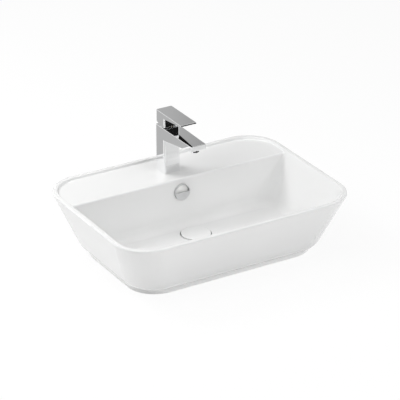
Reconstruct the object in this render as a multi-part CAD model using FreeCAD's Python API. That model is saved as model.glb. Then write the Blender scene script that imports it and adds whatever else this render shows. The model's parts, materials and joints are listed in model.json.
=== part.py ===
"""Countertop basin of vitreous china with a tap ledge, a lever mixer, a click waste and an overflow.

Millimetres. +X is to the user's right, -Y towards the user, +Z up.
The origin lies on the counter, under the middle of the basin's foot.
"""
import FreeCAD, Part
import math
import os

V = FreeCAD.Vector
UP = V(0, 0, 1)
REACH = 2000.0  # size of a block that stands for half of space

# China: rim, outer wall and foot
rim_width = 600.0
rim_depth = 437.0
rim_height = 150.0
rim_corner_radius = 86.0
rim_thickness = 11.0
rim_outer_radius = 3.5
rim_inner_radius = 2.4
wall_inset = 52.5
base_corner_radius = 80.0
belly_radius = 36.0
foot_height = 11.0
foot_inset_side = 11.5
foot_inset_front = 15.0
foot_corner_radius = 71.0
foot_edge_radius = 2.0
foot_ring_width = 14.0

# China: bowl and tap ledge
bowl_wall_lean = 23.0
bowl_floor_corner_radius = 62.0
bowl_floor_radius = 24.0
floor_height = 31.0
floor_fall = 1.0
floor_thickness = 15.0
ledge_drop = 5.5
ledge_depth = 122.5
ledge_thickness = 13.0
ledge_edge_radius = 5.5
ledge_rim_radius = 3.0
back_wall_lean = 5.3
back_wall_thickness = 12.0
back_corner_floor_radius = 50.0
back_corner_top_radius = 7.7
hollow_wall = 12.0

# China: tap hole, waste hole and overflow
tap_setback = 59.0
tap_hole_diameter = 35.0
waste_setback = 68.3
waste_hole_diameter = 46.0
waste_recess_diameter = 75.0
waste_recess_depth = 9.0
waste_boss_diameter = 84.0
waste_boss_depth = 10.0
overflow_drop = 31.9
overflow_hole_diameter = 27.0
overflow_seat_diameter = 37.4
overflow_seat_depth = 5.0
duct_width = 26.0
duct_depth = 12.0
duct_run_height = 7.0
duct_wall = 6.0
duct_floor = 4.0

# Overflow cover, and the collar behind it
cover_diameter = 39.6
cover_reach = 6.0
cover_wall = 1.2
cover_edge_radius = 0.4
cover_skirt_depth = 2.0
collar_wall = 1.4
collar_drain_drop = 6.0
collar_spigot_diameter = 26.6
collar_spigot_length = 8.0

# Waste
waste_thread_diameter = 41.9
waste_bore = 35.0
waste_tail_length = 60.0
waste_relief_depth = 0.5
waste_relief_width = 1.5
waste_flange_diameter = 64.0
waste_flange_thickness = 3.0
waste_gasket_thickness = 1.5
waste_gasket_margin = 1.0
waste_slot_width = 14.0
waste_slot_height = 9.0
waste_slot_count = 4
lower_gasket_diameter = 58.0
lower_gasket_thickness = 4.0
waste_washer_thickness = 1.5
back_nut_across_flats = 52.0
back_nut_height = 10.0
bridge_bar_width = 6.0
bridge_height = 5.0
bridge_boss_diameter = 16.0
cap_diameter = 70.0
cap_crown = 3.7
cap_skirt = 2.8
cap_edge_radius = 1.6
cap_seal_outer = 58.0
cap_seal_inner = 48.0
cap_seal_thickness = 1.5
carrier_thickness = 2.5
carrier_diameter = 62.0
carrier_boss_length = 7.0
carrier_boss_gap = 1.0
barrel_diameter = 14.0
barrel_bore = 11.0
barrel_stud_diameter = 8.0
spring_wire = 0.8
spring_room = 6.0
spring_turns = 4
plunger_guide_length = 12.0
plunger_neck_diameter = 8.0

# Mixer body and spout
column_width = 43.4
column_depth = 39.0
column_corner_radius = 4.0
body_height = 115.0
spout_reach = 139.0
spout_tip_width = 39.0
spout_root_thickness = 30.0
spout_tip_thickness = 12.5
edge_softness = 0.8
inlet_spacing = 14.6
inlet_offset = 4.0
inlet_thread_diameter = 10.0
inlet_thread_depth = 16.0
passage_spacing = 9.6
passage_diameter = 4.6
spout_channel_diameter = 9.0
spout_channel_start = 2.0
spout_channel_end_depth = 6.5
base_seal_thickness = 1.0
base_seal_margin = 1.0
base_seal_bore = 31.0

# Mixer fixing under the ledge
stud_offset = 10.0
stud_diameter = 8.0
stud_engagement = 16.0
stud_tail = 24.0
horseshoe_diameter = 48.0
horseshoe_slot_width = 28.0
horseshoe_slot_start = 3.0
horseshoe_seal_thickness = 4.0
horseshoe_plate_thickness = 3.0
fixing_nut_across_flats = 13.0
fixing_nut_height = 8.0

# Mixer cartridge
cartridge_diameter = 28.0
cartridge_depth = 39.5
cartridge_base_thickness = 3.0
cartridge_port_diameter = 4.0
seal_ring_diameter = 7.0
seal_ring_thickness = 1.2
outlet_ring_diameter = 31.0
outlet_ring_height = 18.0
outlet_window_width = 12.0
outlet_window_height = 5.0
fixed_disc_diameter = 23.6
fixed_disc_thickness = 3.5
slider_diameter = 17.4
moving_disc_thickness = 3.0
disc_carrier_thickness = 7.0
disc_room_diameter = 24.0
disc_room_height = 15.3
yoke_diameter = 18.8
yoke_flange_diameter = 22.0
yoke_flange_thickness = 2.0
yoke_height = 14.0
yoke_slot_front = 6.0
yoke_slot_back = 8.3
neck_diameter = 22.4
neck_height = 6.0
pivot_drop = 15.5
pivot_pin_diameter = 3.0
nut_thread_diameter = 32.0
nut_height = 8.0
cover_ring_bore = 24.5
cover_ring_height = 3.5

# Lever
lever_rise = 36.5
lever_width = 41.4
lever_reach = 95.5
lever_hub_inset = 0.7
lever_hub_corner_radius = 3.5
lever_root_thickness = 12.0
lever_tip_thickness = 3.3
lever_tip_lean = 1.2
lever_gap = 1.8
lever_relief = 7.0
stem_width = 8.0
stem_depth = 9.0
stem_top_room = 12.0
stem_pocket_room = 1.0
stem_rod_diameter = 4.0
stem_ball_diameter = 5.6
stem_ball_lift = 5.7
lever_screw_diameter = 5.0
lever_screw_length = 9.0
lever_screw_height = 15.0
lever_plug_diameter = 8.0
lever_plug_depth = 2.5

# Aerator
aerator_setback = 19.5
aerator_diameter = 22.0
aerator_height = 8.0
aerator_thread_diameter = 18.5
aerator_thread_length = 7.5
aerator_bore = 15.0
aerator_slot_width = 15.0
aerator_slot_height = 2.6
aerator_insert_recess = 1.0
aerator_washer_thickness = 1.5

# Clearances, and how far a joined or cutting form runs past the face it meets
thread_gap = 0.1
running_gap = 0.1
slide_gap = 0.15
loose_gap = 0.3
overlap = 1.0

# Levels and places worked out from the sizes above
wall_slope = wall_inset / (rim_height - foot_height)
rim_rounding_loss = rim_outer_radius * (wall_slope + math.hypot(1, wall_slope) - 1)
edge_width = rim_width + 2 * rim_rounding_loss
edge_depth = rim_depth + 2 * rim_rounding_loss
base_width = edge_width - 2 * wall_inset
base_depth = edge_depth - 2 * wall_inset
foot_width = base_width - 2 * foot_inset_side
foot_depth = base_depth - 2 * foot_inset_front
ledge_z = rim_height - ledge_drop
ledge_front_y = rim_depth / 2 - rim_thickness - ledge_depth
ledge_under_z = ledge_z - ledge_thickness
floor_under_z = floor_height - floor_thickness
tap_y = ledge_front_y + tap_setback
waste_y = ledge_front_y - waste_setback
back_slope = math.tan(math.radians(back_wall_lean))

waste_seat_z = floor_height - waste_recess_depth
waste_boss_z = floor_under_z - waste_boss_depth
flange_bottom_z = waste_seat_z + waste_gasket_thickness
flange_top_z = flange_bottom_z + waste_flange_thickness
carrier_bottom_z = flange_top_z + cap_seal_thickness
carrier_top_z = carrier_bottom_z + carrier_thickness
cap_top_z = carrier_top_z + cap_crown
lower_gasket_z = waste_boss_z - lower_gasket_thickness
waste_washer_z = lower_gasket_z - waste_washer_thickness
back_nut_z = waste_washer_z - back_nut_height
waste_end_z = -waste_tail_length
bridge_top_z = back_nut_z + bridge_height
bridge_z = bridge_top_z - bridge_height
barrel_top_z = carrier_bottom_z - carrier_boss_length - carrier_boss_gap
plunger_guide_z = barrel_top_z - plunger_guide_length
barrel_floor_z = plunger_guide_z - spring_room

body_top_z = ledge_z + body_height
column_front_y = tap_y - column_depth / 2
column_back_y = tap_y + column_depth / 2
spout_root_y = column_front_y + column_corner_radius
spout_tip_y = tap_y - spout_reach
spout_rise = spout_root_thickness - spout_tip_thickness
spout_slope = math.degrees(math.atan2(spout_rise, spout_root_y - spout_tip_y))
aerator_y = spout_tip_y + aerator_setback
stud_y = tap_y - stud_offset
inlet_y = tap_y + inlet_offset
horseshoe_seal_z = ledge_under_z - horseshoe_seal_thickness
horseshoe_plate_z = horseshoe_seal_z - horseshoe_plate_thickness
fixing_nut_z = horseshoe_plate_z - fixing_nut_height

chamber_floor_z = body_top_z - cartridge_depth - seal_ring_thickness
cartridge_z = chamber_floor_z + seal_ring_thickness
fixed_disc_z = cartridge_z + cartridge_base_thickness
moving_disc_z = fixed_disc_z + fixed_disc_thickness
disc_carrier_z = moving_disc_z + moving_disc_thickness
yoke_z = fixed_disc_z + disc_room_height + running_gap
shoulder_z = body_top_z - cover_ring_height - nut_height
neck_top_z = shoulder_z + neck_height
pivot_z = body_top_z - pivot_drop
ball_z = disc_carrier_z + stem_ball_lift
lever_bottom_z = body_top_z + lever_gap
lever_top_z = body_top_z + lever_rise
lever_tip_y = tap_y - lever_reach
hub_front_y = column_front_y + lever_hub_inset
hub_back_y = column_back_y - lever_hub_inset
stem_top_z = lever_top_z - stem_top_room
lever_screw_z = lever_bottom_z + lever_screw_height


def rounded_rectangle(width, depth, radius, z, y=0.0):
    """Closed outline in a level plane, with its four corners as arcs."""
    side = width / 2
    front = y - depth / 2
    back = y + depth / 2
    corner_x = side - radius
    front_corner_y = front + radius
    back_corner_y = back - radius

    def line(x0, y0, x1, y1):
        return Part.LineSegment(V(x0, y0, z), V(x1, y1, z)).toShape()

    def arc(centre_x, centre_y, start):
        points = []
        for angle in (start, start + 45, start + 90):
            turn = math.radians(angle)
            points.append(V(centre_x + radius * math.cos(turn), centre_y + radius * math.sin(turn), z))
        return Part.Arc(*points).toShape()

    return Part.Wire([
        line(-corner_x, front, corner_x, front),
        arc(corner_x, front_corner_y, -90),
        line(side, front_corner_y, side, back_corner_y),
        arc(corner_x, back_corner_y, 0),
        line(corner_x, back, -corner_x, back),
        arc(-corner_x, back_corner_y, 90),
        line(-side, back_corner_y, -side, front_corner_y),
        arc(-corner_x, front_corner_y, 180),
    ])


def rounded_prism(width, depth, radius, z0, z1, y=0.0):
    """Upright block with rounded corners."""
    return Part.Face(rounded_rectangle(width, depth, radius, z0, y)).extrude(V(0, 0, z1 - z0))


def box(x0, x1, y0, y1, z0, z1):
    return Part.makeBox(x1 - x0, y1 - y0, z1 - z0, V(x0, y0, z0))


def cylinder(diameter, z0, z1, x=0.0, y=0.0):
    return Part.makeCylinder(diameter / 2, z1 - z0, V(x, y, z0))


def tube(outer, inner, z0, z1, x=0.0, y=0.0):
    return cylinder(outer, z0, z1, x, y).cut(cylinder(inner, z0, z1, x, y))


def hexagon(across_flats, z0, z1, x=0.0, y=0.0):
    """Upright six-sided block."""
    corner = across_flats / math.sqrt(3)
    points = []
    for side in range(7):
        turn = math.radians(60 * side)
        points.append(V(x + corner * math.cos(turn), y + corner * math.sin(turn), z0))
    return Part.Face(Part.makePolygon(points)).extrude(V(0, 0, z1 - z0))


def side_profile(points, width):
    """Block of the given width across X, from the corners of its side view as (y, z)."""
    corners = [V(-width / 2, y, z) for y, z in points]
    outline = Part.makePolygon(corners + corners[:1])
    return Part.Face(outline).extrude(V(width, 0, 0))


def half_space(point, normal):
    """Large block on the side of a plane that its normal points to."""
    block = Part.makeBox(REACH, REACH, REACH, V(-REACH / 2, -REACH / 2, 0))
    block.Placement = FreeCAD.Placement(point, FreeCAD.Rotation(UP, normal))
    return block


def edges_on_plane(shape, point, normal):
    """Edges of a shape that lie wholly in a plane."""
    found = []
    for edge in shape.Edges:
        start = edge.FirstParameter
        span = edge.LastParameter - start
        spots = [edge.valueAt(start + span * share) for share in (0, 0.25, 0.5, 0.75, 1)]
        if all(abs((spot - point).dot(normal)) < 0.02 for spot in spots):
            found.append(edge)
    return found


def upright_edges(shape, test):
    """Straight upright edges whose middle passes the test."""
    found = []
    for edge in shape.Edges:
        ends = [corner.Point for corner in edge.Vertexes]
        if len(ends) == 2 and abs(ends[0].x - ends[1].x) < 0.01 and abs(ends[0].y - ends[1].y) < 0.01:
            if test(edge.CenterOfMass):
                found.append(edge)
    return found


def back_wall_plane(offset=0.0):
    """Point and normal of the bowl's leaning back wall, moved back into the china by an offset."""
    lean = math.radians(back_wall_lean)
    normal = V(0, -math.cos(lean), math.sin(lean))
    return V(0, ledge_front_y, ledge_z) - normal * offset, normal


def back_wall_y(z):
    return ledge_front_y - (ledge_z - z) * back_slope


def on_back_wall(shape):
    """Moves a shape made about the origin, facing +Z, to the overflow's place on the back wall."""
    z = ledge_z - overflow_drop
    turn = FreeCAD.Rotation(V(1, 0, 0), 90 - back_wall_lean)
    shape.Placement = FreeCAD.Placement(V(0, back_wall_y(z), z), turn)
    return shape


def under_spout(shape):
    """Moves a shape made about the origin, hanging below it, to the outlet under the spout's tip."""
    z = body_top_z - spout_tip_thickness - (aerator_y - spout_tip_y) * math.tan(math.radians(spout_slope))
    turn = FreeCAD.Rotation(V(1, 0, 0), -spout_slope)
    shape.Placement = FreeCAD.Placement(V(0, aerator_y, z), turn)
    return shape


def outer_form():
    """Outside of the china: straight leaning walls, a rounded belly, a soft rim and the foot."""
    low = rounded_rectangle(base_width, base_depth, base_corner_radius, foot_height)
    high = rounded_rectangle(edge_width, edge_depth, rim_corner_radius, rim_height)
    shell = Part.makeLoft([low, high], True, True)
    shell = shell.makeFillet(belly_radius, edges_on_plane(shell, V(0, 0, foot_height), UP))
    shell = shell.makeFillet(rim_outer_radius, edges_on_plane(shell, V(0, 0, rim_height), UP))
    foot = rounded_prism(foot_width, foot_depth, foot_corner_radius, 0, foot_height + belly_radius / 2)
    foot = foot.makeFillet(foot_edge_radius, edges_on_plane(foot, V(0, 0, 0), UP))
    return shell.fuse(foot)


def inside_rim(z0, z1):
    """Space inside the rim between two levels, with leaning walls and rounded corners."""
    outlines = []
    for z in (z0, z1):
        inset = rim_thickness + (rim_height - z) * math.tan(math.radians(bowl_wall_lean))
        rim_radius = rim_corner_radius - rim_thickness
        fall = (rim_height - z) / (rim_height - floor_height)
        radius = rim_radius + (bowl_floor_corner_radius - rim_radius) * fall
        outlines.append(rounded_rectangle(rim_width - 2 * inset, rim_depth - 2 * inset, radius, z))
    return Part.makeLoft(outlines, True, True)


def back_corner_radius(z):
    """Radius between the back wall and a side wall, which grows towards the floor."""
    growth = (back_corner_floor_radius - back_corner_top_radius) / (ledge_z - floor_height)
    return back_corner_top_radius + (ledge_z - z) * growth


def round_back_corner(bowl, side):
    """Rounds the steep edge between the back wall and the wall on one side."""
    for edge in edges_on_plane(bowl, *back_wall_plane()):
        low = edge.valueAt(edge.FirstParameter)
        high = edge.valueAt(edge.LastParameter)
        if abs(high.z - low.z) > ledge_drop and low.x * side > 0:
            return bowl.makeFillet(back_corner_radius(low.z), back_corner_radius(high.z), [edge])


def bowl_space():
    """Bowl in front of its back wall, with a floor that falls towards the waste."""
    tilt = math.radians(floor_fall)
    floor_point = V(0, waste_y, floor_height)
    floor_normal = V(0, math.sin(tilt), math.cos(tilt))
    bowl = inside_rim(floor_under_z, rim_height + rim_thickness)
    bowl = bowl.common(half_space(floor_point, floor_normal))
    bowl = bowl.common(half_space(*back_wall_plane()))
    for side in (1, -1):
        bowl = round_back_corner(bowl, side)
    return bowl.makeFillet(bowl_floor_radius, edges_on_plane(bowl, floor_point, floor_normal))


def inner_space():
    """All the space inside the rim: the bowl, and the shallow tray over the ledge."""
    ledge_point = V(0, 0, ledge_z)
    tray = inside_rim(ledge_z, rim_height + rim_thickness)
    tray = tray.makeFillet(ledge_rim_radius, edges_on_plane(tray, ledge_point, UP))
    space = bowl_space().fuse(tray)
    ledge_edges = []
    for edge in edges_on_plane(space, ledge_point, UP):
        if edge.CenterOfMass.y < ledge_front_y + ledge_edge_radius:
            ledge_edges.append(edge)
    return space.makeFillet(ledge_edge_radius, ledge_edges)


def underside_hollow():
    """Space under the floor inside the foot, and the open chamber under the tap ledge."""
    ring_width = foot_width - 2 * foot_ring_width
    ring_depth = foot_depth - 2 * foot_ring_width
    ring_radius = foot_corner_radius - foot_ring_width
    under_floor = rounded_prism(ring_width, ring_depth, ring_radius, 0, floor_under_z)

    thinner = 2 * hollow_wall
    low_radius = base_corner_radius - hollow_wall
    high_radius = rim_corner_radius - hollow_wall
    low = rounded_rectangle(base_width - thinner, base_depth - thinner, low_radius, foot_height)
    high = rounded_rectangle(edge_width - thinner, edge_depth - thinner, high_radius, rim_height)
    inside = Part.makeLoft([low, high], True, True)
    chamber_floor = foot_height + hollow_wall
    inside = inside.common(box(-REACH, REACH, -REACH, REACH, chamber_floor, ledge_under_z))
    passage = rounded_prism(ring_width, ring_depth, ring_radius, 0, chamber_floor)
    wall_point, wall_normal = back_wall_plane(back_wall_thickness)
    chamber = inside.fuse(passage).common(half_space(wall_point, wall_normal * -1))
    return under_floor.fuse(chamber)


def overflow_channel(wall, width, bottom_z, top_z):
    """Overflow's way down behind the back wall and forward under the floor, grown by a wall."""
    near_point, wall_normal = back_wall_plane(back_wall_thickness - wall)
    far_point, _ = back_wall_plane(back_wall_thickness + duct_depth + wall)
    drop = box(-width / 2, width / 2, 0, rim_depth / 2, bottom_z, ledge_under_z + overlap - wall)
    drop = drop.common(half_space(near_point, wall_normal * -1)).common(half_space(far_point, wall_normal))
    run_end = back_wall_y(bottom_z) + back_wall_thickness + duct_depth
    run = box(-width / 2, width / 2, waste_y, run_end, bottom_z, top_z)
    return drop.fuse(run)


def basin_body():
    china = outer_form().cut(inner_space())
    inner_rim = []
    for edge in edges_on_plane(china, V(0, 0, rim_height), UP):
        middle = edge.valueAt((edge.FirstParameter + edge.LastParameter) / 2)
        if is_inner_rim(middle):
            inner_rim.append(edge)
    china = china.makeFillet(rim_inner_radius, inner_rim)

    china = china.cut(underside_hollow())
    run_top_z = waste_boss_z + duct_floor + duct_run_height
    run_roof_z = floor_under_z + overlap
    duct_outside = overflow_channel(duct_wall, duct_width + 2 * duct_wall, waste_boss_z, run_roof_z)
    duct_inside = overflow_channel(0, duct_width, waste_boss_z + duct_floor, run_top_z)
    boss = cylinder(waste_boss_diameter, waste_boss_z, run_roof_z, 0, waste_y)
    china = china.fuse(duct_outside).fuse(boss).cut(duct_inside)

    china = china.cut(cylinder(tap_hole_diameter, ledge_under_z - overlap, rim_height, 0, tap_y))
    china = china.cut(cylinder(waste_hole_diameter, 0, floor_height, 0, waste_y))
    china = china.cut(cylinder(waste_recess_diameter, waste_seat_z, rim_height, 0, waste_y))
    seat = cylinder(overflow_seat_diameter, -overflow_seat_depth, ledge_drop)
    hole = cylinder(overflow_hole_diameter, -back_wall_thickness - duct_depth / 2, 0)
    china = china.cut(on_back_wall(seat)).cut(on_back_wall(hole))
    return china.removeSplitter()


def is_inner_rim(spot):
    """True for a point on the rim's top that lies nearer the bowl than the outside."""
    half_width = rim_width / 2 - rim_thickness / 2
    half_depth = rim_depth / 2 - rim_thickness / 2
    radius = rim_corner_radius - rim_thickness / 2
    past_x = max(abs(spot.x) - half_width + radius, 0)
    past_y = max(abs(spot.y) - half_depth + radius, 0)
    return math.hypot(past_x, past_y) < radius


def overflow_cover():
    """Steel ring standing out of the overflow's seat; its lower half is a plate that water spills over."""
    skirt_diameter = overflow_seat_diameter - 2 * running_gap
    mouth = skirt_diameter - 2 * cover_wall
    ring = tube(cover_diameter, mouth, 0, cover_reach)
    ring = ring.fuse(tube(skirt_diameter, mouth, -cover_skirt_depth, 0))
    plate = cylinder(mouth + cover_wall, cover_reach - cover_wall, cover_reach)
    plate = plate.cut(box(-mouth, mouth, 0, mouth, 0, cover_reach))
    cover = ring.fuse(plate).removeSplitter()
    front_edges = edges_on_plane(cover, V(0, 0, cover_reach), UP)
    return on_back_wall(cover.makeFillet(cover_edge_radius, front_edges))


def overflow_collar():
    """Plastic plug behind the cover, with a drain low in its face and a spigot that grips the overflow hole."""
    plug_diameter = overflow_seat_diameter - 2 * running_gap
    face_diameter = plug_diameter - 2 * cover_wall - 2 * running_gap
    back = -overflow_seat_depth
    plug = cylinder(plug_diameter, back, -cover_skirt_depth)
    plug = plug.fuse(cylinder(face_diameter, -cover_skirt_depth, 0))
    bore = collar_spigot_diameter - 2 * collar_wall
    drain = cylinder(bore, back, 0)
    drain = drain.cut(box(-bore, bore, -collar_drain_drop, bore, back, 0))
    spigot = tube(collar_spigot_diameter, bore, back - collar_spigot_length, back)
    return on_back_wall(plug.cut(drain).fuse(spigot).removeSplitter())


def waste_body():
    """Chromed brass waste: flange, threaded tube with overflow slots, and the bridge for the click unit."""
    flange = cylinder(waste_flange_diameter, flange_bottom_z, flange_top_z, 0, waste_y)
    flange_edges = edges_on_plane(flange, V(0, waste_y, flange_top_z), UP)
    flange = flange.makeFillet(waste_flange_thickness / 2, flange_edges)
    body = flange.fuse(cylinder(waste_thread_diameter, waste_end_z, flange_bottom_z, 0, waste_y))
    body = body.cut(cylinder(waste_bore, waste_end_z, flange_top_z, 0, waste_y))
    relief = tube(
        waste_thread_diameter + overlap, waste_thread_diameter - 2 * waste_relief_depth,
        back_nut_z - waste_relief_width, back_nut_z, 0, waste_y)
    body = body.cut(relief)
    slot_z = waste_boss_z + duct_floor
    slot = box(0, waste_thread_diameter, -waste_slot_width / 2, waste_slot_width / 2, slot_z, slot_z + waste_slot_height)
    for index in range(waste_slot_count):
        cut = slot.copy()
        cut.rotate(V(0, 0, 0), UP, 360 / waste_slot_count * (index + 0.5))
        cut.translate(V(0, waste_y, 0))
        body = body.cut(cut)
    half_bar = bridge_bar_width / 2
    reach = waste_bore / 2 + thread_gap
    bar_x = box(-reach, reach, waste_y - half_bar, waste_y + half_bar, bridge_z, bridge_top_z)
    bar_y = box(-half_bar, half_bar, waste_y - reach, waste_y + reach, bridge_z, bridge_top_z)
    hub = cylinder(bridge_boss_diameter, bridge_z, bridge_top_z, 0, waste_y)
    bridge = bar_x.fuse(bar_y).fuse(hub)
    bridge = bridge.cut(cylinder(barrel_stud_diameter + 2 * thread_gap, bridge_z, bridge_top_z, 0, waste_y))
    return body.fuse(bridge).removeSplitter()


def waste_flange_gasket():
    outer = waste_flange_diameter - 2 * waste_gasket_margin
    return tube(outer, waste_hole_diameter, waste_seat_z, flange_bottom_z, 0, waste_y)


def waste_lower_gasket():
    bore = waste_thread_diameter + 2 * thread_gap
    return tube(lower_gasket_diameter, bore, lower_gasket_z, waste_boss_z, 0, waste_y)


def waste_washer():
    bore = waste_thread_diameter + 2 * thread_gap
    return tube(lower_gasket_diameter, bore, waste_washer_z, lower_gasket_z, 0, waste_y)


def waste_back_nut():
    nut = hexagon(back_nut_across_flats, back_nut_z, waste_washer_z, 0, waste_y)
    return nut.cut(cylinder(waste_thread_diameter + 2 * thread_gap, back_nut_z, waste_washer_z, 0, waste_y))


def click_barrel():
    """Fixed half of the click unit, screwed into the waste's bridge."""
    barrel = cylinder(barrel_diameter, bridge_top_z, barrel_top_z, 0, waste_y)
    barrel = barrel.cut(cylinder(barrel_bore, barrel_floor_z, barrel_top_z, 0, waste_y))
    return barrel.fuse(cylinder(barrel_stud_diameter, bridge_z, bridge_top_z, 0, waste_y))


def click_spring():
    """Coil spring in the barrel, as one wire along quarter-turn arcs."""
    radius = (barrel_bore - spring_wire) / 2 - slide_gap
    low = barrel_floor_z + spring_wire / 2
    rise = spring_room - spring_wire
    steps = 8 * spring_turns
    points = []
    for step in range(steps + 1):
        turn = math.radians(45 * step)
        points.append(V(radius * math.cos(turn), waste_y + radius * math.sin(turn), low + rise * step / steps))
    arcs = [Part.Arc(*points[i:i + 3]).toShape() for i in range(0, steps, 2)]
    start = arcs[0]
    wire = Part.Wire(Part.makeCircle(spring_wire / 2, points[0], start.tangentAt(start.FirstParameter)))
    gap = rise / spring_turns - spring_wire
    print("click spring gap between turns", round(gap, 2))
    return Part.Wire(arcs).makePipeShell([wire], True, False)


def click_plunger():
    """Moving half of the click unit: a guide in the barrel and a neck that carries the cap."""
    guide = cylinder(barrel_bore - 2 * running_gap, plunger_guide_z, barrel_top_z, 0, waste_y)
    return guide.fuse(cylinder(plunger_neck_diameter, barrel_top_z, carrier_bottom_z, 0, waste_y))


def cap_carrier():
    """Plastic plate under the cap, screwed on to the plunger's neck."""
    plate = cylinder(carrier_diameter, carrier_bottom_z, carrier_top_z, 0, waste_y)
    boss = cylinder(bridge_boss_diameter, carrier_bottom_z - carrier_boss_length, carrier_bottom_z, 0, waste_y)
    bore = plunger_neck_diameter + 2 * thread_gap
    return plate.fuse(boss.cut(cylinder(bore, boss.BoundBox.ZMin, carrier_bottom_z, 0, waste_y)))


def cap_seal():
    return tube(cap_seal_outer, cap_seal_inner, flange_top_z, carrier_bottom_z, 0, waste_y)


def waste_cap():
    """Glazed cap over the waste, hollow underneath for the carrier."""
    cap = cylinder(cap_diameter, carrier_top_z - cap_skirt, cap_top_z, 0, waste_y)
    cap = cap.makeFillet(cap_edge_radius, edges_on_plane(cap, V(0, waste_y, cap_top_z), UP))
    pocket = carrier_diameter + 2 * loose_gap
    return cap.cut(cylinder(pocket, carrier_top_z - cap_skirt, carrier_top_z, 0, waste_y))


def spout_form():
    """Spout as a wedge: level on top, narrower and thinner towards its tip."""
    profile = [
        (spout_root_y, body_top_z),
        (spout_root_y, body_top_z - spout_root_thickness),
        (spout_tip_y, body_top_z - spout_tip_thickness),
        (spout_tip_y, body_top_z),
    ]
    spout = side_profile(profile, column_width)
    length = spout_root_y - spout_tip_y
    narrowing = (column_width - spout_tip_width) / 2
    for side in (-1, 1):
        root_corner = V(side * column_width / 2, spout_root_y, body_top_z)
        spout = spout.cut(half_space(root_corner, V(side * length, -narrowing, 0)))
    soft = [edge for edge in spout.Edges if edge.CenterOfMass.y < column_front_y]
    return spout.makeFillet(edge_softness, soft)


def mixer_body():
    """Chromed brass casting: column and spout, with the cartridge chamber, inlets and outlet inside."""
    column = rounded_prism(column_width, column_depth, column_corner_radius, ledge_z, body_top_z, tap_y)
    column = column.makeFillet(edge_softness, edges_on_plane(column, V(0, 0, body_top_z), UP))
    body = column.fuse(spout_form()).removeSplitter()

    body = body.cut(cylinder(cartridge_diameter + 2 * slide_gap, chamber_floor_z, shoulder_z, 0, tap_y))
    body = body.cut(cylinder(outlet_ring_diameter, chamber_floor_z, chamber_floor_z + outlet_ring_height, 0, tap_y))
    body = body.cut(cylinder(nut_thread_diameter, shoulder_z, body_top_z, 0, tap_y))
    for side in (-1, 1):
        x = side * inlet_spacing / 2
        body = body.cut(cylinder(inlet_thread_diameter, ledge_z, ledge_z + inlet_thread_depth, x, inlet_y))
    body = body.cut(water_passages(passage_diameter, ledge_z + inlet_thread_depth, chamber_floor_z))
    body = body.cut(cylinder(stud_diameter + 2 * thread_gap, ledge_z, ledge_z + stud_engagement, 0, stud_y))
    body = body.cut(base_seal_ring())

    thread = cylinder(aerator_thread_diameter, 0, aerator_thread_length + aerator_washer_thickness)
    body = body.cut(under_spout(thread))
    start = V(0, tap_y - outlet_ring_diameter / 2 + spout_channel_start, chamber_floor_z + outlet_ring_height)
    end = V(0, aerator_y - spout_channel_diameter / 2, body_top_z - spout_channel_end_depth)
    channel = Part.makeCylinder(spout_channel_diameter / 2, (end - start).Length, start, end - start)
    return body.cut(channel)


def base_seal_ring():
    margin = 2 * base_seal_margin
    ring = rounded_prism(
        column_width - margin, column_depth - margin, column_corner_radius - base_seal_margin,
        ledge_z, ledge_z + base_seal_thickness, tap_y)
    return ring.cut(cylinder(base_seal_bore, ledge_z, ledge_z + base_seal_thickness, 0, tap_y))


def mixer_base_seal():
    return base_seal_ring()


def horseshoe(z0, z1):
    """Open ring that slides round the inlets and hangs on the stud."""
    ring = cylinder(horseshoe_diameter, z0, z1, 0, tap_y)
    side = horseshoe_slot_width / 2
    ring = ring.cut(box(-side, side, tap_y - horseshoe_slot_start, tap_y + horseshoe_diameter, z0, z1))
    return ring.cut(cylinder(stud_diameter + 2 * loose_gap, z0, z1, 0, stud_y))


def horseshoe_seal():
    return horseshoe(horseshoe_seal_z, ledge_under_z)


def horseshoe_plate():
    return horseshoe(horseshoe_plate_z, horseshoe_seal_z)


def fixing_nut():
    nut = hexagon(fixing_nut_across_flats, fixing_nut_z, horseshoe_plate_z, 0, stud_y)
    return nut.cut(cylinder(stud_diameter + 2 * thread_gap, fixing_nut_z, horseshoe_plate_z, 0, stud_y))


def fixing_stud():
    return cylinder(stud_diameter, fixing_nut_z - stud_tail, ledge_z + stud_engagement, 0, stud_y)


def water_passages(diameter, z0, z1):
    """Pair of upright bars on the lines of the hot and cold water."""
    left = cylinder(diameter, z0, z1, -passage_spacing / 2, inlet_y)
    return left.fuse(cylinder(diameter, z0, z1, passage_spacing / 2, inlet_y))


def cartridge_seals():
    """Two rubber rings between the chamber's floor and the cartridge's base."""
    rings = water_passages(seal_ring_diameter, chamber_floor_z, cartridge_z)
    return rings.cut(water_passages(passage_diameter, chamber_floor_z, cartridge_z))


def cartridge_base():
    base = cylinder(cartridge_diameter, cartridge_z, fixed_disc_z, 0, tap_y)
    return base.cut(water_passages(cartridge_port_diameter, cartridge_z, fixed_disc_z))


def cartridge_housing():
    """Plastic shell of the cartridge, with a neck for the yoke and windows where mixed water leaves."""
    shell = cylinder(cartridge_diameter, fixed_disc_z, shoulder_z, 0, tap_y)
    shell = shell.fuse(cylinder(neck_diameter, shoulder_z, neck_top_z, 0, tap_y))
    shell = shell.cut(cylinder(disc_room_diameter, fixed_disc_z, fixed_disc_z + disc_room_height, 0, tap_y))
    flange_room = yoke_flange_diameter + 2 * slide_gap
    flange_top = yoke_z + yoke_flange_thickness + running_gap
    shell = shell.cut(cylinder(flange_room, fixed_disc_z, flange_top, 0, tap_y))
    shell = shell.cut(cylinder(yoke_diameter + 2 * running_gap, fixed_disc_z, neck_top_z, 0, tap_y))
    side = outlet_window_width / 2
    window_z = disc_carrier_z - outlet_window_height / 2
    reach = cartridge_diameter
    window = box(-side, side, tap_y - reach, tap_y + reach, window_z, window_z + outlet_window_height)
    return shell.cut(window)


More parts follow.
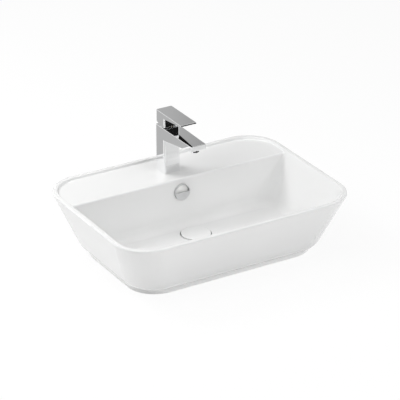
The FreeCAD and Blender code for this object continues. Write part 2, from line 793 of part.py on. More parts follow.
def fixed_disc():
    disc = cylinder(fixed_disc_diameter, fixed_disc_z, moving_disc_z, 0, tap_y)
    return disc.cut(water_passages(cartridge_port_diameter, fixed_disc_z, moving_disc_z))


def moving_disc():
    """Ceramic disc that covers both ports at rest and slides off them as the lever lifts."""
    return cylinder(slider_diameter, moving_disc_z, disc_carrier_z, 0, tap_y)


def disc_carrier():
    """Plastic slider on the moving disc, with a socket for the stem's ball."""
    top = disc_carrier_z + disc_carrier_thickness
    carrier = cylinder(slider_diameter, disc_carrier_z, top, 0, tap_y)
    return carrier.cut(cylinder(stem_ball_diameter + 2 * loose_gap, disc_carrier_z, top, 0, tap_y))


def pivot_bar(diameter, length):
    return Part.makeCylinder(diameter / 2, length, V(-length / 2, tap_y, pivot_z), V(1, 0, 0))


def cartridge_yoke():
    """Turning yoke in the cartridge's neck, slotted for the stem and drilled for its pivot pin."""
    flange = cylinder(yoke_flange_diameter, yoke_z, yoke_z + yoke_flange_thickness, 0, tap_y)
    yoke = flange.fuse(cylinder(yoke_diameter, yoke_z, yoke_z + yoke_height, 0, tap_y))
    side = stem_width / 2 + slide_gap
    slot = box(-side, side, tap_y - yoke_slot_front, tap_y + yoke_slot_back, yoke_z, yoke_z + yoke_height)
    return yoke.cut(slot).cut(pivot_bar(pivot_pin_diameter, yoke_diameter))


def pivot_pin():
    return pivot_bar(pivot_pin_diameter, yoke_diameter - 4 * running_gap)


def lever_stem():
    """Steel stem: a square bar in the lever, an eye on the pivot pin, and a ball in the disc carrier."""
    half_x = stem_width / 2
    half_y = stem_depth / 2
    eye_z = pivot_z - half_y
    bar = box(-half_x, half_x, tap_y - half_y, tap_y + half_y, pivot_z, stem_top_z)
    eye = Part.makeCylinder(half_y, stem_width, V(-half_x, tap_y, pivot_z), V(1, 0, 0))
    rod = cylinder(stem_rod_diameter, ball_z, eye_z + overlap, 0, tap_y)
    ball = Part.makeSphere(stem_ball_diameter / 2, V(0, tap_y, ball_z))
    stem = bar.fuse(eye).fuse(rod).fuse(ball)
    return stem.cut(pivot_bar(pivot_pin_diameter + running_gap, 2 * stem_width))


def cartridge_nut():
    """Brass ring nut that clamps the cartridge's shoulder."""
    outer = nut_thread_diameter - 2 * thread_gap
    return tube(outer, neck_diameter + 2 * slide_gap, shoulder_z, shoulder_z + nut_height, 0, tap_y)


def cartridge_cover():
    """Chrome ring that closes the chamber round the stem, level with the body's top."""
    outer = nut_thread_diameter - 2 * thread_gap
    return tube(outer, cover_ring_bore, shoulder_z + nut_height, body_top_z, 0, tap_y)


def lever_handle():
    """Chrome lever: a hub cut away behind so that it can tilt, and a tapering blade with a leaning tip."""
    profile = [
        (hub_back_y, lever_bottom_z + lever_relief),
        (tap_y, lever_bottom_z),
        (hub_front_y, lever_bottom_z),
        (hub_front_y, lever_top_z - lever_root_thickness),
        (lever_tip_y, lever_top_z - lever_tip_thickness),
        (lever_tip_y + lever_tip_lean, lever_top_z),
        (hub_back_y, lever_top_z),
    ]
    lever = side_profile(profile, lever_width)
    hub_edges = upright_edges(lever, lambda spot: spot.y > lever_tip_y + lever_reach / 2)
    lever = lever.makeFillet(lever_hub_corner_radius, hub_edges)
    soft = []
    for edge in lever.Edges:
        spot = edge.CenterOfMass
        on_top = abs(spot.z - lever_top_z) < 0.01
        on_bottom = spot.z < lever_bottom_z + lever_relief + 0.01 and abs(spot.y - tap_y) > 1
        at_tip = spot.y < lever_tip_y + lever_tip_lean
        if on_top or on_bottom or at_tip:
            soft.append(edge)
    lever = lever.makeFillet(edge_softness, soft)
    half_x = stem_width / 2 + thread_gap
    half_y = stem_depth / 2 + thread_gap
    pocket_top_z = stem_top_z + stem_pocket_room
    lever = lever.cut(box(-half_x, half_x, tap_y - half_y, tap_y + half_y, lever_bottom_z, pocket_top_z))
    lever = lever.cut(lever_bar(lever_screw_diameter + 2 * thread_gap, half_y, hub_back_y - tap_y))
    return lever.cut(lever_bar(lever_plug_diameter, hub_back_y - lever_plug_depth - tap_y, hub_back_y - tap_y))


def lever_bar(diameter, start, end):
    """Level bar behind the stem, in the lever's screw hole."""
    return Part.makeCylinder(diameter / 2, end - start, V(0, tap_y + start, lever_screw_z), V(0, 1, 0))


def lever_screw():
    start = stem_depth / 2
    return lever_bar(lever_screw_diameter, start, start + lever_screw_length)


def lever_plug():
    end = hub_back_y - tap_y
    return lever_bar(lever_plug_diameter, end - lever_plug_depth, end)


def aerator_housing():
    """Chrome outlet ring: a thread up into the spout and a rim below it with a key slot."""
    rim = tube(aerator_diameter, aerator_bore, -aerator_height, 0)
    rim_edges = edges_on_plane(rim, V(0, 0, -aerator_height), UP)
    rim = rim.makeFillet(edge_softness, rim_edges)
    thread = tube(aerator_thread_diameter - 2 * thread_gap, aerator_bore, 0, aerator_thread_length)
    side = aerator_slot_width / 2
    slot_z = -aerator_height / 2 - aerator_slot_height
    slot = box(-side, side, -aerator_diameter, 0, slot_z, slot_z + aerator_slot_height)
    return under_spout(rim.fuse(thread).cut(slot))


def aerator_insert():
    """Plastic jet insert inside the outlet ring."""
    diameter = aerator_bore - 2 * thread_gap
    insert = cylinder(diameter, -aerator_height + aerator_insert_recess, aerator_thread_length)
    return under_spout(insert)


def aerator_washer():
    outer = aerator_thread_diameter - 2 * thread_gap
    washer = tube(outer, spout_channel_diameter, aerator_thread_length, aerator_thread_length + aerator_washer_thickness)
    return under_spout(washer)


SUB_PARTS = [
    basin_body,
    overflow_cover, overflow_collar,
    waste_body, waste_flange_gasket, waste_lower_gasket, waste_washer, waste_back_nut,
    click_barrel, click_spring, click_plunger, cap_carrier, cap_seal, waste_cap,
    mixer_body, mixer_base_seal, fixing_stud, horseshoe_seal, horseshoe_plate, fixing_nut,
    cartridge_seals, cartridge_base, cartridge_housing, fixed_disc, moving_disc, disc_carrier,
    cartridge_yoke, pivot_pin, cartridge_nut, cartridge_cover,
    lever_stem, lever_handle, lever_screw, lever_plug,
    aerator_housing, aerator_insert, aerator_washer,
]

os.makedirs("parts", exist_ok=True)
for make in SUB_PARTS:
    shape = make()
    print(make.__name__, "valid", shape.isValid(), "solids", len(shape.Solids), "volume", round(shape.Volume))
    shape.exportStep("parts/" + make.__name__ + ".step")
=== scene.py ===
# %% [markdown]
# # A countertop basin with a lever mixer
#
# The CAD model already gives every solid of the basin its place and its size. This lesson loads
# that model as a fixed frame and dresses it: glaze on the china, chrome on the mixer, brass and
# steel below the ledge. A few small pieces that are easier to model here than as solids are added,
# and then a studio is built around it all.

import bmesh
import bpy
import json
import math
from mathutils import Matrix, Vector


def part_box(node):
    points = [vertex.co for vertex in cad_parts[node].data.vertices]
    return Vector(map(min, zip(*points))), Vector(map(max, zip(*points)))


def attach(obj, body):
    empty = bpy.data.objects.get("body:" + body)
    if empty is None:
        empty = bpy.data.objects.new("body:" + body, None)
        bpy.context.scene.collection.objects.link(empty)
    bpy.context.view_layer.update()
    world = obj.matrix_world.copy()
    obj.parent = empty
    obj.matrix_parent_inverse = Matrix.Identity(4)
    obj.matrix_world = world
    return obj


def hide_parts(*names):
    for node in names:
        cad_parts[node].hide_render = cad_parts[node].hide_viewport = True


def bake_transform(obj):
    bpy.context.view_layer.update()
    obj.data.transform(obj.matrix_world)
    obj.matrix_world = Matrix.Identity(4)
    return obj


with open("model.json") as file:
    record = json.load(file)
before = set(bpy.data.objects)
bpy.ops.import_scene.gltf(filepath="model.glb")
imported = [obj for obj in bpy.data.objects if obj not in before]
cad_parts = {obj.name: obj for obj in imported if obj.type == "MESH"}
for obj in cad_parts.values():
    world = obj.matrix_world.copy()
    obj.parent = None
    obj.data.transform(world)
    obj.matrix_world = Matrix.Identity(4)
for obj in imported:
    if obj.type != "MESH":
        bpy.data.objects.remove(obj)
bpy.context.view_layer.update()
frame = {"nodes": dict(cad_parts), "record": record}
nodes = frame["nodes"]
MM = 0.001

# %% [markdown]
# ## Camera
#
# A product picture of a basin is taken from far away with a long lens, so that the rim's near and
# far sides keep almost the same scale. The camera is placed by two angles and a distance from a
# point inside the bowl. Angles are easier to read and to change than a bare position, and the lamps
# will be placed in the same way.

# %% Camera
view_azimuth = -30.796
view_elevation = 25.805
view_distance = 5.145
view_target = Vector((1.0, 0.0, 124.4)) * MM
focal_length_in_pixels = 2240.5
image_side_in_pixels = 400
sensor_width = 36.0
scene = bpy.context.scene


def aim(thing, azimuth, elevation, distance):
    """Puts a camera or a lamp at two angles from the target, turned to it, and gives its direction.

    The angles are in degrees. An azimuth of 0 is in front of the basin and 90 is on its right.
    """
    turn = math.radians(azimuth)
    lift = math.radians(elevation)
    away = Vector((
        math.sin(turn) * math.cos(lift),
        -math.cos(turn) * math.cos(lift),
        math.sin(lift),
    ))
    thing.location = view_target + away * distance
    thing.rotation_mode = "QUATERNION"
    thing.rotation_quaternion = (-away).to_track_quat("-Z", "Y")
    scene.collection.objects.link(thing)
    return away


camera = bpy.data.objects.new("camera", bpy.data.cameras.new("camera"))
camera.data.sensor_width = sensor_width
camera.data.lens = focal_length_in_pixels / image_side_in_pixels * sensor_width
camera.data.clip_end = 100.0
towards_camera = aim(camera, view_azimuth, view_elevation, view_distance)
scene.camera = camera
scene.view_settings.view_transform = "Standard"
print("lens in mm", round(camera.data.lens, 1), "camera at", [round(x, 3) for x in camera.location])

# %% [markdown]
# ## Sums between sockets
#
# A procedural finish is a small sum: a noise, scaled and shifted, drives a colour or a roughness.
# Written as nodes and links such a sum is hard to follow, so a class wraps a socket and lets
# Python's own operators add the Math nodes. Every other node comes from one method, which takes its
# settings and then its inputs.


# %% Sums between sockets
class Wire:
    """An output of a node, which takes part in sums as a number does."""

    def __init__(self, tree, socket):
        self.tree = tree
        self.socket = socket

    @classmethod
    def node(cls, tree, kind, settings=None, inputs=None, output=0):
        """Adds a node, sets it up, sets or joins its inputs, and gives one of its outputs."""
        made = tree.nodes.new(kind)
        for name, value in (settings or {}).items():
            setattr(made, name, value)
        for name, value in (inputs or {}).items():
            join(tree, made.inputs[name], value)
        return cls(tree, made.outputs[output])

    def sibling(self, output):
        """Another output of the same node."""
        return Wire(self.tree, self.socket.node.outputs[output])

    def math(self, operation, first, second):
        """A Math node on two values, each of them a wire or a number."""
        return Wire.node(self.tree, "ShaderNodeMath", {"operation": operation}, {0: first, 1: second})

    def __add__(self, other):
        return self.math("ADD", self, other)

    def __radd__(self, other):
        return self.math("ADD", other, self)

    def __sub__(self, other):
        return self.math("SUBTRACT", self, other)

    def __rsub__(self, other):
        return self.math("SUBTRACT", other, self)

    def __mul__(self, other):
        return self.math("MULTIPLY", self, other)

    def __rmul__(self, other):
        return self.math("MULTIPLY", other, self)


def join(tree, socket, value):
    """Links a wire to a socket, or sets the socket to a plain value."""
    if isinstance(value, Wire):
        tree.links.new(value.socket, socket)
    else:
        socket.default_value = value


print("a wire can be added, subtracted and multiplied")

# %% [markdown]
# ## Starting a finish
#
# Every finish here is one Principled shader. What is the same all over the surface is set on the
# shader's own sockets, and only what changes over the surface comes from nodes. The patterns read
# Object coordinates, which are metres in the frame, so a scale of 100 means features of about a
# centimetre.

# %% Starting a finish
finishes = {}


def new_finish(name, constants):
    """A material with one Principled shader, whose unchanging sockets are set."""
    material = bpy.data.materials.new(name)
    material.use_nodes = True
    shader = material.node_tree.nodes["Principled BSDF"]
    for socket, value in constants.items():
        shader.inputs[socket].default_value = value
    finishes[name] = material
    return material.node_tree, shader


def place(tree, stretch=(1.0, 1.0, 1.0)):
    """Object coordinates in metres, stretched for a pattern that runs one way."""
    metres = Wire.node(tree, "ShaderNodeTexCoord", output="Object")
    return Wire.node(tree, "ShaderNodeMapping", inputs={"Vector": metres, "Scale": stretch})


def noise(tree, vector, scale, detail=2.0):
    """Soft noise between 0 and 1."""
    inputs = {"Vector": vector, "Scale": scale, "Detail": detail}
    return Wire.node(tree, "ShaderNodeTexNoise", inputs=inputs)


def mixed(tree, factor, first, second):
    """A colour between two, each of them plain or from other nodes."""
    ends = [colour if isinstance(colour, Wire) else (*colour, 1.0) for colour in (first, second)]
    inputs = {0: factor, 6: ends[0], 7: ends[1]}
    return Wire.node(tree, "ShaderNodeMix", {"data_type": "RGBA"}, inputs, output=2)


def bump(tree, height, depth, strength):
    """A normal that makes a height between 0 and 1 look that deep, in metres."""
    inputs = {"Height": height, "Distance": depth, "Strength": strength}
    return Wire.node(tree, "ShaderNodeBump", inputs=inputs)


def ramp(tree, value, low, high):
    """Goes smoothly from 0 to 1 as a value goes from low to high."""
    settings = {"interpolation_type": "SMOOTHSTEP"}
    inputs = {"Value": value, "From Min": low, "From Max": high}
    return Wire.node(tree, "ShaderNodeMapRange", settings, inputs)


print("helpers", [helper.__name__ for helper in (new_finish, place, noise, mixed, bump, ramp)])

# %% [markdown]
# ## Glazed china
#
# Vitreous china is dense white clay under a thin coat of clear glass. The glass flows before it
# sets, so the surface has a very shallow swell and its gloss is nearly even. The foot is painted a
# touch whiter than the wall over it: painted light, standing in for the bounce from the white
# counter into the shade under the overhanging wall. The ring that the basin stands on is wiped
# clean before firing, because glaze would stick to the kiln shelf, so it stays dull and a little
# cream. Three materials could do this, but then the mesh would have to be cut. Two height masks on
# the Z coordinate give all three in one material.

# %% Glazed china
wiped_edge = (0.2 * MM, 1.4 * MM)
# painted light: below this height the foot is painted whiter, as bounce light into its shade
painted_light_foot_edge = (10.8 * MM, 12.2 * MM)


def china_finish():
    tree, shader = new_finish("glazed_china", {"IOR": 1.5, "Coat Roughness": 0.14})
    metres = place(tree)
    height = Wire.node(tree, "ShaderNodeSeparateXYZ", inputs={0: metres}, output="Z")
    glazed = ramp(tree, height, *wiped_edge)
    above_painted_light_foot = ramp(tree, height, *painted_light_foot_edge)
    cloud = noise(tree, metres, scale=7.0)
    swell = noise(tree, metres, scale=45.0, detail=1.0)
    wall = mixed(tree, cloud, (0.795, 0.798, 0.796), (0.82, 0.821, 0.818))
    # painted light: a whiter foot in place of the bounce light that reaches its shade under the wall
    foot_painted_light = (0.95, 0.95, 0.945)
    biscuit = (0.80, 0.775, 0.72)
    glaze_with_painted_foot_light = mixed(tree, above_painted_light_foot, foot_painted_light, wall)
    join(tree, shader.inputs["Base Color"], mixed(tree, glazed, biscuit, glaze_with_painted_foot_light))
    join(tree, shader.inputs["Roughness"], 0.62 - glazed * (0.42 + swell * 0.03))
    join(tree, shader.inputs["Coat Weight"], glazed * 0.25)
    join(tree, shader.inputs["Normal"], bump(tree, swell, depth=0.05 * MM, strength=0.12))


china_finish()
print("finishes", list(finishes))

# %% [markdown]
# ## Chrome
#
# The mixer, its lever and the waste are chromed brass. Chrome has almost no colour of its own and
# takes its look from what stands around it. A perfect mirror would be the simplest finish, but
# handled chrome is never perfectly clear, so a faint film makes the roughness rise and fall a
# little.


# %% Chrome
def chrome_finish():
    tree, shader = new_finish("chrome", {"Metallic": 1.0})
    film = noise(tree, place(tree), scale=38.0, detail=4.0)
    tone = mixed(tree, film, (0.90, 0.905, 0.91), (0.94, 0.943, 0.948))
    join(tree, shader.inputs["Base Color"], tone)
    join(tree, shader.inputs["Roughness"], 0.015 + film * 0.03)


chrome_finish()
print("finishes", list(finishes))

# %% [markdown]
# ## Brass and steel
#
# The waste's nut, the cartridge's nut and the click unit are turned brass. The overflow's cover,
# the lever's stem and the clamp plate under the ledge are steel. A lathe leaves fine rings around a
# turned piece and a rolling mill leaves fine lines along a sheet. Such lines could be cut into the
# mesh, but they are far too fine for that. Both are one noise that is squeezed in one direction.


# %% Brass and steel
def brass_finish():
    tree, shader = new_finish("brass", {"Metallic": 1.0})
    rings = noise(tree, place(tree, (1.0, 1.0, 40.0)), scale=60.0, detail=3.0)
    tarnish = noise(tree, place(tree), scale=55.0, detail=5.0)
    tone = mixed(tree, tarnish, (0.80, 0.60, 0.30), (0.66, 0.46, 0.20))
    join(tree, shader.inputs["Base Color"], tone)
    join(tree, shader.inputs["Roughness"], 0.20 + tarnish * 0.18)
    join(tree, shader.inputs["Normal"], bump(tree, rings, depth=0.03 * MM, strength=0.5))


def steel_finish():
    tree, shader = new_finish("steel", {"Metallic": 1.0})
    lines = noise(tree, place(tree, (40.0, 1.0, 1.0)), scale=70.0, detail=3.0)
    cloud = noise(tree, place(tree), scale=80.0)
    tone = mixed(tree, cloud, (0.71, 0.715, 0.72), (0.64, 0.645, 0.65))
    join(tree, shader.inputs["Base Color"], tone)
    join(tree, shader.inputs["Roughness"], 0.26 + lines * 0.2)
    join(tree, shader.inputs["Normal"], bump(tree, lines, depth=0.02 * MM, strength=0.5))


brass_finish()
steel_finish()
print("finishes", list(finishes))

# %% [markdown]
# ## Rubber, plastics and the ceramic discs
#
# Seals are moulded rubber, nearly black and dull. The cartridge and the aerator's insert are
# moulded plastic with a slight grain from the mould. The two discs that open and close the water
# are ground alumina: pale, hard and so flat that they shine. The four differ in a few numbers only,
# so one function makes them all.


# %% Rubber, plastics and the ceramic discs
def moulded_finish(name, dark, light, roughness, grain_scale, grain_depth):
    """A moulded or ground surface: two close tones, an even gloss and a fine grain."""
    tree, shader = new_finish(name, {"IOR": 1.48})
    metres = place(tree)
    cloud = noise(tree, metres, scale=grain_scale / 12, detail=3.0)
    grain = noise(tree, metres, scale=grain_scale)
    join(tree, shader.inputs["Base Color"], mixed(tree, cloud, dark, light))
    join(tree, shader.inputs["Roughness"], roughness + (grain - 0.5) * 0.12)
    join(tree, shader.inputs["Normal"], bump(tree, grain, grain_depth, strength=0.4))


moulded_finish(
    "seal_rubber", dark=(0.018, 0.018, 0.019), light=(0.035, 0.035, 0.036),
    roughness=0.62, grain_scale=1400.0, grain_depth=0.05 * MM,
)
moulded_finish(
    "white_plastic", dark=(0.90, 0.90, 0.885), light=(0.93, 0.93, 0.915),
    roughness=0.42, grain_scale=1800.0, grain_depth=0.02 * MM,
)
moulded_finish(
    "dark_plastic", dark=(0.018, 0.018, 0.019), light=(0.032, 0.032, 0.033),
    roughness=0.34, grain_scale=1800.0, grain_depth=0.02 * MM,
)
moulded_finish(
    "disc_ceramic", dark=(0.80, 0.78, 0.72), light=(0.86, 0.845, 0.79),
    roughness=0.22, grain_scale=2400.0, grain_depth=0.005 * MM,
)
print("finishes", list(finishes))

# %% [markdown]
# ## Finishes on the CAD nodes
#
# The record names a material slot for every node, so one loop gives each node its finish. The CAD
# mesh is loose triangles. Welding them, splitting the sharp edges again and weighting the normals
# by face area makes round edges smooth and keeps flat faces flat, all as modifiers, so that the
# mesh itself stays as it came.

# %% Finishes on the CAD nodes
weld_distance = 0.002 * MM
sharp_angle = math.radians(32)


def smooth_faces(piece):
    """Marks every face as part of a smooth surface."""
    for polygon in piece.data.polygons:
        polygon.use_smooth = True


def smooth_shading(piece):
    """Smooth shading across round edges and a clear line at sharp ones."""
    smooth_faces(piece)
    weld = piece.modifiers.new("weld", "WELD")
    weld.merge_threshold = weld_distance
    split = piece.modifiers.new("sharp_edges", "EDGE_SPLIT")
    split.split_angle = sharp_angle
    weights = piece.modifiers.new("flat_faces", "WEIGHTED_NORMAL")
    weights.keep_sharp = True


slot_of = {row["node"]: row["material_slot"] for row in frame["record"]["subparts"]}
for name, node in nodes.items():
    node.data.materials.clear()
    node.data.materials.append(finishes[slot_of[name]])
    smooth_shading(node)
print("dressed", len(slot_of), "nodes in", len(set(slot_of.values())), "finishes")

# %% [markdown]
# ## Starting a piece
#
# What the CAD leaves to this lesson is modelled with bmesh operators, which work on a shape before
# it is an object. Every object then sits at the origin and keeps its place in its mesh, as the CAD
# nodes do. A new piece also gets its faces turned outwards and the finish of its slot.


# %% Starting a piece
def new_object(name, builder):
    """An object at the origin with the shape of a bmesh, which is freed."""
    mesh = bpy.data.meshes.new(name)
    builder.to_mesh(mesh)
    builder.free()
    made = bpy.data.objects.new(name, mesh)
    scene.collection.objects.link(made)
    return made


def new_piece(name, builder, slot):
    """A piece of the basin with its faces outwards and the finish of a slot."""
    bmesh.ops.recalc_face_normals(builder, faces=builder.faces)
    piece = new_object(name, builder)
    piece.data.materials.append(finishes[slot])
    return piece


print("slots to choose from", sorted(finishes))

# %% [markdown]
# ## Coil spring of the click waste
#
# Under the cap a coil spring lifts the plunger when the catch lets go. It stands on the fixed
# barrel and pushes the moving plug, so it has to grow as the plug rises. It could be a curve with a
# round section. Here a small circle is spun around the axis with a rise at each step, which makes a
# mesh at once.


# %% Coil spring of the click waste
def coil(section_points, centre, turns, rise, steps_in_a_turn):
    """A closed section, swept along a helix about an upright axis, with its ends closed."""
    builder = bmesh.new()
    corners = [builder.verts.new(point) for point in section_points]
    for first, second in zip(corners, corners[1:] + corners[:1]):
        builder.edges.new((first, second))
    steps = int(turns * steps_in_a_turn)
    bmesh.ops.spin(
        builder, geom=builder.edges[:], cent=centre, axis=(0, 0, 1),
        dvec=(0, 0, rise / steps), angle=turns * math.tau, steps=steps, use_merge=False,
    )
    ends = [edge for edge in builder.edges if edge.is_boundary]
    bmesh.ops.holes_fill(builder, edges=ends, sides=0)
    return builder


spring_low, spring_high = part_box("click_spring")
spring_axis = (spring_low + spring_high) / 2
spring_wire = 0.8 * MM
spring_wire_sides = 10
spring_turns = 4
spring_radius = (spring_high.x - spring_low.x - spring_wire) / 2
spring_rise = spring_high.z - spring_low.z - spring_wire
wire_points = []
for step in range(spring_wire_sides):
    turn = math.tau * step / spring_wire_sides
    across = spring_radius + spring_wire / 2 * math.cos(turn)
    up = spring_low.z + spring_wire / 2 + spring_wire / 2 * math.sin(turn)
    wire_points.append((spring_axis.x + across, spring_axis.y, up))
spring_builder = coil(wire_points, spring_axis, spring_turns, spring_rise, steps_in_a_turn=28)
spring = new_piece("plug_spring", spring_builder, "steel")
smooth_faces(spring)
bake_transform(spring)
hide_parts("click_spring")
print("spring", spring_turns, "turns,", round(2 * spring_radius / MM, 1), "mm across")

# %% [markdown]
# ## Thread of the fixing stud
#
# One long threaded stud pulls the mixer down onto the ledge. The solid is a plain bar of the
# thread's outer size. A bump could draw a thread on it, but its outline would stay straight. So it
# gets a core and a ridge with the usual 60 degree flanks, spun along a helix like the spring. The
# crest reaches the solid's own radius, so nothing grows.

# %% Thread of the fixing stud
stud_low, stud_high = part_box("fixing_stud")
stud_axis = (stud_low + stud_high) / 2
stud_radius = (stud_high.x - stud_low.x) / 2
stud_length = stud_high.z - stud_low.z
thread_pitch = 1.25 * MM
thread_depth = 0.61 * thread_pitch
core_radius = stud_radius - thread_depth
core_sides = 32
ridge_overlap = 0.1 * MM
ridge_root = core_radius - ridge_overlap
stud_turns = int(stud_length / thread_pitch) - 1
ridge_in_shares_of_pitch = [
    (ridge_root, 0.02),
    (stud_radius, 0.42),
    (stud_radius, 0.56),
    (ridge_root, 0.96),
]
ridge_points = [
    (stud_axis.x + radius, stud_axis.y, stud_low.z + share * thread_pitch)
    for radius, share in ridge_in_shares_of_pitch
]
thread_rise = stud_turns * thread_pitch
stud_builder = coil(ridge_points, stud_axis, stud_turns, thread_rise, steps_in_a_turn=20)
bmesh.ops.create_cone(
    stud_builder, cap_ends=True, segments=core_sides, radius1=core_radius, radius2=core_radius,
    depth=stud_length, matrix=Matrix.Translation(stud_axis),
)
stud = new_piece("threaded_stud", stud_builder, "steel")
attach(stud, "basin")
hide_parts("fixing_stud")
print("stud thread", stud_turns, "turns,", len(stud.data.polygons), "faces")

# %% [markdown]
# ## Grid in the outlet
#
# Looking up into the outlet ring you see a fine grid that mixes air into the water. It could be two
# layers of crossed bars. Here a disc is sliced both ways, each cell is inset so that a bar is left
# around it, and the middles are deleted, so all bars meet cleanly. Then the sheet gets its
# thickness. It lies on the insert's lower face, which leans with the spout's underside.

# %% Grid in the outlet
insert_low, insert_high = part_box("aerator_insert")
insert_length = 14.5 * MM
spout_lean = math.radians(-8.065)
outlet_lean = Matrix.Rotation(spout_lean, 4, "X")
outlet_down = outlet_lean @ Vector((0.0, 0.0, -1.0))
outlet_face = (insert_low + insert_high) / 2 + outlet_down * insert_length / 2
grid_clearance = 0.1 * MM
grid_radius = (insert_high.x - insert_low.x) / 2 - grid_clearance
grid_sides = 48
grid_cells = 11
grid_bar = 0.36 * MM
grid_thickness = 0.6 * MM
cell_side = 2 * grid_radius / grid_cells

grid_builder = bmesh.new()
bmesh.ops.create_circle(grid_builder, cap_ends=True, segments=grid_sides, radius=grid_radius)
for across in (Vector((1, 0, 0)), Vector((0, 1, 0))):
    for step in range(1, grid_cells):
        everything = grid_builder.verts[:] + grid_builder.edges[:] + grid_builder.faces[:]
        cut_place = across * (step * cell_side - grid_radius)
        bmesh.ops.bisect_plane(grid_builder, geom=everything, plane_co=cut_place, plane_no=across)
cells = [face for face in grid_builder.faces if face.calc_area() > cell_side ** 2 / 2]
bmesh.ops.inset_individual(grid_builder, faces=cells, thickness=grid_bar / 2, use_even_offset=True)
bmesh.ops.delete(grid_builder, geom=cells, context="FACES")
bmesh.ops.solidify(grid_builder, geom=grid_builder.faces[:], thickness=grid_thickness)
grid_builder.transform(Matrix.Translation(outlet_face) @ outlet_lean)
grid = new_piece("outlet_grid", grid_builder, "steel")
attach(grid, "basin")
print("outlet grid", len(cells), "cells in a circle of", round(2 * grid_radius / MM, 1), "mm")

# %% [markdown]
# ## Backdrop
#
# Behind the basin everything is plain white. A large curved sheet could do that, but the world's
# own colour has no edge and needs no lamp. The camera, and anything mirrored in the chrome, sees it
# at a strength of 1, which is white. The light that it gives to the basin is much weaker, so that
# the lamps can shape it.

# %% Backdrop
ambient_strength = 0.21


def grey(level):
    """A colour without a tint, for a socket."""
    return (level, level, level, 1.0)


def seen_directly(tree):
    """1 for rays from the camera and for mirrored and refracted ones, 0 for light that only fills."""
    camera_ray = Wire.node(tree, "ShaderNodeLightPath", output="Is Camera Ray")
    mirrored = camera_ray.math("MAXIMUM", camera_ray, camera_ray.sibling("Is Glossy Ray"))
    return mirrored.math("MAXIMUM", mirrored, camera_ray.sibling("Is Transmission Ray"))


world = bpy.data.worlds.new("backdrop")
world.use_nodes = True
scene.world = world
sky = world.node_tree.nodes["Background"]
sky.inputs["Color"].default_value = grey(1.0)
sky_strength = ambient_strength + (1.0 - ambient_strength) * seen_directly(world.node_tree)
join(world.node_tree, sky.inputs["Strength"], sky_strength)
print("backdrop lights the basin with", ambient_strength, "of what the camera sees")

# %% [markdown]
# ## Counter
#
# The basin stands on a plain white counter that runs on into the backdrop. Paint alone would turn
# grey away from the lamps. So for the camera, and for anything mirrored in the chrome, the counter
# gives part of its brightness by itself. The rest comes from the lamps, so that the shadow under
# the basin is kept.

# %% Counter
floor_side = 16.0
floor_paint = 0.93
floor_glow = 0.91


def studio_sheet(name, width, height, placing):
    """A flat sheet that belongs to the studio, with a material that still lacks its shader."""
    builder = bmesh.new()
    bmesh.ops.create_grid(builder, x_segments=1, y_segments=1, size=0.5)
    builder.transform(placing @ Matrix.Diagonal((width, height, 1.0, 1.0)))
    sheet = new_object(name, builder)
    material = bpy.data.materials.new(name)
    material.use_nodes = True
    tree = material.node_tree
    tree.nodes.remove(tree.nodes["Principled BSDF"])
    sheet.data.materials.append(material)
    return sheet, tree


floor, floor_tree = studio_sheet("counter", floor_side, floor_side, Matrix.Identity(4))
paint = Wire.node(floor_tree, "ShaderNodeBsdfDiffuse", inputs={"Color": grey(floor_paint)})
glow = Wire.node(floor_tree, "ShaderNodeEmission", inputs={"Color": grey(1.0)})
glow_share = seen_directly(floor_tree) * floor_glow
counter_top = Wire.node(floor_tree, "ShaderNodeMixShader", inputs={0: glow_share, 1: paint, 2: glow})
join(floor_tree, floor_tree.nodes["Material Output"].inputs["Surface"], counter_top)
print(floor.name, floor_side, "m wide")

# %% [markdown]
# ## Lamps
#
# Small lamps would throw hard shadows, so four large soft boxes light the basin: two on its left,
# one of them further back, one before it on the right and one overhead. They differ in strength, so
# the left wall is the brightest, the rounded corner beside it falls off, and the long front wall
# grows slowly darker to the right. That is what shows the basin's form.

# %% Lamps
lamp_distance = 2.4


def soft_box(name, azimuth, elevation, side, watts):
    """A square area lamp that faces the bowl and isn't mirrored as a hard square."""
    lamp = bpy.data.objects.new(name, bpy.data.lights.new(name, "AREA"))
    lamp.data.size = side
    lamp.data.energy = watts
    lamp.visible_glossy = False
    aim(lamp, azimuth, elevation, lamp_distance)
    return lamp


lamps = [
    soft_box("left_box", azimuth=-88, elevation=42, side=1.2, watts=16.5),
    soft_box("back_left_box", azimuth=-142, elevation=45, side=1.2, watts=35.0),
    soft_box("front_right_box", azimuth=25, elevation=30, side=1.5, watts=25.0),
    soft_box("top_box", azimuth=0, elevation=88, side=1.5, watts=10.5),
]
print("lamps", [lamp.name for lamp in lamps])

# %% [markdown]
# ## Cards that only mirrors see
#
# Chrome in an all-white room looks like paper. A photographer puts grey and black cards around a
# polished piece, out of the picture, so that its faces mirror something. A real card also shades
# what stands beside it. These act on mirrored rays only, so they take no light from the china.


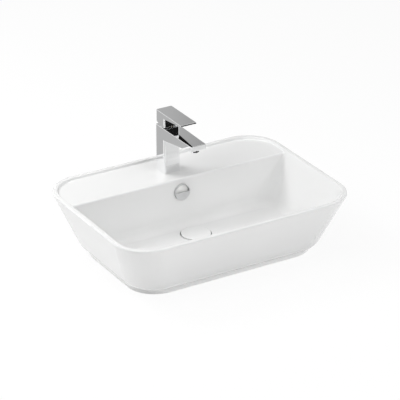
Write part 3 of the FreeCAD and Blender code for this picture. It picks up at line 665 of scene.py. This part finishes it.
# %% Cards that only mirrors see
def card(name, position, towards, width, height, brightness, fade=None):
    """A card that only mirrored rays can see.

    It is plain, or it fades along a direction, over a length, to another brightness.
    """
    facing = (towards - position).to_track_quat("Z", "Y").to_matrix().to_4x4()
    sheet, tree = studio_sheet(name, width, height, Matrix.Translation(position) @ facing)
    sheet.visible_camera = False
    sheet.visible_diffuse = False
    sheet.visible_shadow = False
    tone = grey(brightness)
    if fade:
        along, length, end = fade
        inputs = {0: place(tree), 1: along}
        settings = {"operation": "DOT_PRODUCT"}
        way = Wire.node(tree, "ShaderNodeVectorMath", settings, inputs, output="Value")
        start = position.dot(along) - length / 2
        share = ramp(tree, way, start, start + length)
        tone = mixed(tree, share, grey(brightness)[:3], grey(end)[:3])
    shine = Wire.node(tree, "ShaderNodeEmission", inputs={"Color": tone})
    join(tree, tree.nodes["Material Output"].inputs["Surface"], shine)
    return sheet


print("a card is hidden from the camera, from soft light and from shadows")

# %% [markdown]
# ## Cards for the chrome
#
# A flat mirror shows one small part of the room, so each card is placed by the way that a face
# looks. One grey card, a little darker towards the tips of the lever and the spout, hangs where the
# top faces look, and one lies where the left faces look. A black one lies behind on the right, and
# another stands before the basin, where the rounded corners and the spout's tip look.

# %% Cards for the chrome
mixer_centre = Vector((0.0, 90.0, 260.0)) * MM
mirrored_up = Vector((-towards_camera.x, -towards_camera.y, towards_camera.z))
across_the_front = Vector((-towards_camera.x, towards_camera.y, 0.0)).normalized()
front_and_right = Vector((0.6, -0.8, 0.0))
to_the_tips = (front_and_right - mirrored_up * front_and_right.dot(mirrored_up)).normalized()
overhead = Vector((0.0, 0.0, 1.0))
top_card_distance = 1.6
front_card_distance = 0.9
front_card_height = 0.5
fade_length = 0.17
brightness_at_the_tips = 0.34
black = 0.01

above = mixer_centre + mirrored_up * top_card_distance
back_left = Vector((-0.28, 0.60, 0.003))
back_right = Vector((0.34, 0.57, 0.003))
over_the_mixer = Vector((mixer_centre.x, mixer_centre.y, front_card_height))
front_right = over_the_mixer + across_the_front * front_card_distance
to_the_mixer = front_right - across_the_front
top_fade = (to_the_tips, fade_length, brightness_at_the_tips)
cards = [
    card("grey_top_card", above, mixer_centre, width=1.7, height=1.2, brightness=0.45, fade=top_fade),
    card("grey_floor_card", back_left, back_left + overhead, width=0.36, height=0.36, brightness=0.48),
    card("black_floor_card", back_right, back_right + overhead, width=0.52, height=0.66, brightness=black),
    card("black_front_card", front_right, to_the_mixer, width=0.8, height=1.0, brightness=black),
]
print("cards", [sheet.name for sheet in cards])
